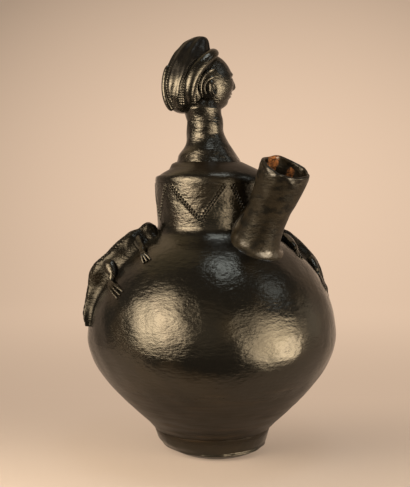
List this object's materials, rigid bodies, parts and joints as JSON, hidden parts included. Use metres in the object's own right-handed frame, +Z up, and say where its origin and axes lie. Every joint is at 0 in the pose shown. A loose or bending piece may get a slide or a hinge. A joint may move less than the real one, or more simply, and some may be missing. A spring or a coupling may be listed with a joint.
{
  "type": "jug",
  "caption": "Round-bellied burnished earthenware jug on a ring foot, with a stamped collar, a bust on top, climbing lizards and a tube spout for filling and pouring.",
  "frame": {"origin": "centre of the foot's underside, on the surface the jug stands on", "axes": "+Z up, +X towards the side the spout leans to"},
  "size_m": [0.2064, 0.2064, 0.3399],
  "materials": {
    "burnished_black": "burnished",
    "burnished_hair": "burnished, combed and stamped",
    "stamped_lizard": "burnished, stamped with scales"
  },
  "bodies": {
    "root": {"foot_ring": "burnished_black", "belly_lower": "burnished_black", "belly_shoulder": "burnished_black", "collar": "burnished_black", "collar_cap": "burnished_black", "spout": "burnished_black", "bust_neck": "burnished_black", "bust_head": "burnished_black", "ear_left": "burnished_black", "ear_right": "burnished_black", "hair_crown": "burnished_hair", "hair_band": "burnished_hair", "hair_plait": "burnished_hair", "hair_roll_left_outer": "burnished_hair", "hair_roll_left_inner": "burnished_hair", "hair_roll_right_outer": "burnished_hair", "hair_roll_right_inner": "burnished_hair", "lizard_front": "stamped_lizard", "lizard_front_fore_leg_left": "stamped_lizard", "lizard_front_fore_leg_right": "stamped_lizard", "lizard_front_hind_leg_left": "stamped_lizard", "lizard_front_hind_leg_right": "stamped_lizard", "lizard_back": "stamped_lizard", "lizard_back_fore_leg_left": "stamped_lizard", "lizard_back_fore_leg_right": "stamped_lizard", "lizard_back_hind_leg_left": "stamped_lizard", "lizard_back_hind_leg_right": "stamped_lizard"}
  },
  "joints": []
}
